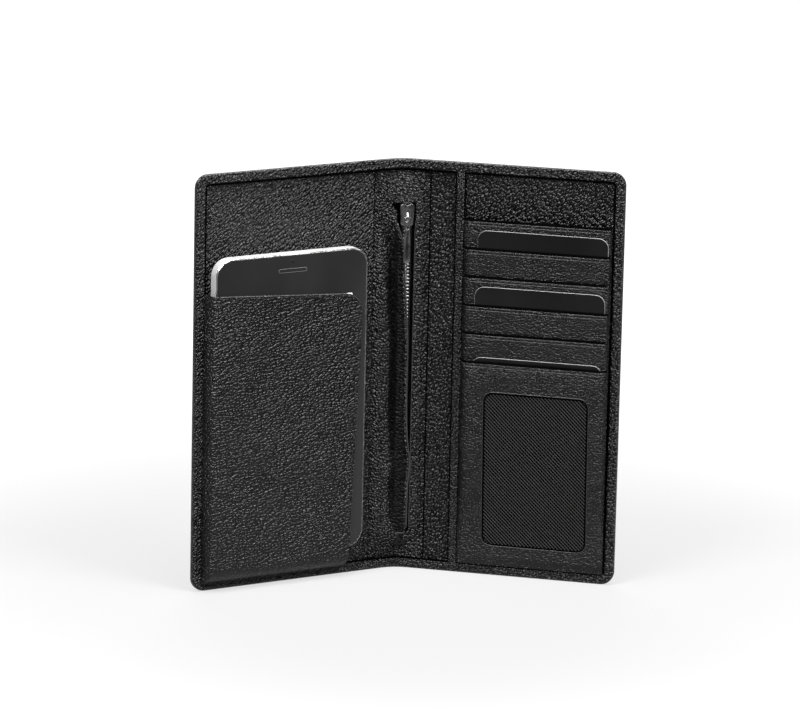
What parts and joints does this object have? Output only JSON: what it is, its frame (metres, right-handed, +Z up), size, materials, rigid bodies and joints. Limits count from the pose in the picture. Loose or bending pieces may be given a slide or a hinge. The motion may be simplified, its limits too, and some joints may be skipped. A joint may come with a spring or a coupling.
{
  "type": "travel document organizer",
  "caption": "Tall bifold leather travel wallet standing open, with a zipped spine pocket, phone pocket, stepped card slots, a mesh ID window, a phone and blank cards.",
  "frame": {"origin": "on the bottom edge of the spine's outer leather, midway between the two fold lines, at the level the wallet stands on", "axes": "+Z up along the spine, the inside faces -Y, the left cover runs towards -X and the right cover towards +X"},
  "size_m": [0.2392, 0.0519, 0.235],
  "materials": {
    "outer_leather": "black pebble-grain leather, semi-matt",
    "inner_leather": "black pebble-grain leather, semi-matt, a little smoother",
    "board": "uncoated grey board",
    "lining": "plain woven black lining",
    "zip_tape": "twill-woven black tape",
    "window_mesh": "black diagonal-weave mesh",
    "zip_metal": "polished nickel plate",
    "phone_case": "satin anodised with a polished chamfer",
    "phone_glass": "dark glossy screen glass",
    "card": "satin black plastic with a light cut edge"
  },
  "bodies": {
    "spine": {"spine_cover_leather": "outer_leather", "spine_lining": "lining", "coin_pocket_bag": "lining", "zip_panel": "inner_leather", "spine_turned_edge_bottom": "outer_leather", "spine_turned_edge_top": "outer_leather", "zip_tape_left": "zip_tape", "zip_tape_right": "zip_tape", "zip_teeth_left": "zip_metal", "zip_teeth_right": "zip_metal", "zip_top_stop": "zip_metal", "zip_bottom_stop": "zip_metal"},
    "left_cover": {"left_cover_leather": "outer_leather", "left_stiffener_board": "board", "left_lining": "lining", "left_document_sleeve": "inner_leather", "left_turned_edge": "outer_leather", "phone_pocket_front": "inner_leather", "phone_pocket_side_wall": "inner_leather", "phone_pocket_floor": "inner_leather"},
    "right_cover": {"right_cover_leather": "outer_leather", "right_stiffener_board": "board", "right_lining": "lining", "right_document_sleeve": "inner_leather", "card_panel_backing": "inner_leather", "card_panel_edge_strip": "inner_leather", "right_turned_edge": "outer_leather", "card_slot_1": "inner_leather", "card_slot_2": "inner_leather", "card_slot_3": "inner_leather", "card_slot_4": "inner_leather", "card_slot_5": "inner_leather", "id_window_panel": "inner_leather", "id_window_mesh": "window_mesh"},
    "zip_slider": {"zip_slider": "zip_metal"},
    "zip_puller": {"zip_puller": "zip_metal"},
    "phone": {"phone_case": "phone_case", "phone_glass": "phone_glass"},
    "card_1": {"card_1": "card"},
    "card_2": {"card_2": "card"},
    "card_3": {"card_3": "card"}
  },
  "joints": [
    {"name": "left_cover_fold", "type": "hinge", "parent": "spine", "child": "left_cover", "pos_m": [-0.0125, 0, 0.1175], "axis": [0, 0, 1], "range_deg": [-21.6, 68.4]},
    {"name": "right_cover_fold", "type": "hinge", "parent": "spine", "child": "right_cover", "pos_m": [0.0125, 0, 0.1175], "axis": [0, 0, -1], "range_deg": [-21.6, 68.4]},
    {"name": "zip_slide", "type": "slide", "parent": "spine", "child": "zip_slider", "axis": [0, 0, -1], "range_m": [0, 0.172]},
    {"name": "puller_swing", "type": "hinge", "parent": "zip_slider", "child": "zip_puller", "pos_m": [0.003, -0.00595, 0.2024], "axis": [1, 0, 0], "range_deg": [-165, 0]},
    {"name": "phone_slide", "type": "slide", "parent": "left_cover", "child": "phone", "axis": [0, 0, 1], "range_m": [0, 0.152]},
    {"name": "card_1_slide", "type": "slide", "parent": "right_cover", "child": "card_1", "axis": [-0.0161, -0.0406, 0.999], "range_m": [0, 0.043]},
    {"name": "card_2_slide", "type": "slide", "parent": "right_cover", "child": "card_2", "axis": [-0.0161, -0.0406, 0.999], "range_m": [0, 0.043]},
    {"name": "card_3_slide", "type": "slide", "parent": "right_cover", "child": "card_3", "axis": [-0.0161, -0.0406, 0.999], "range_m": [0, 0.051]}
  ]
}
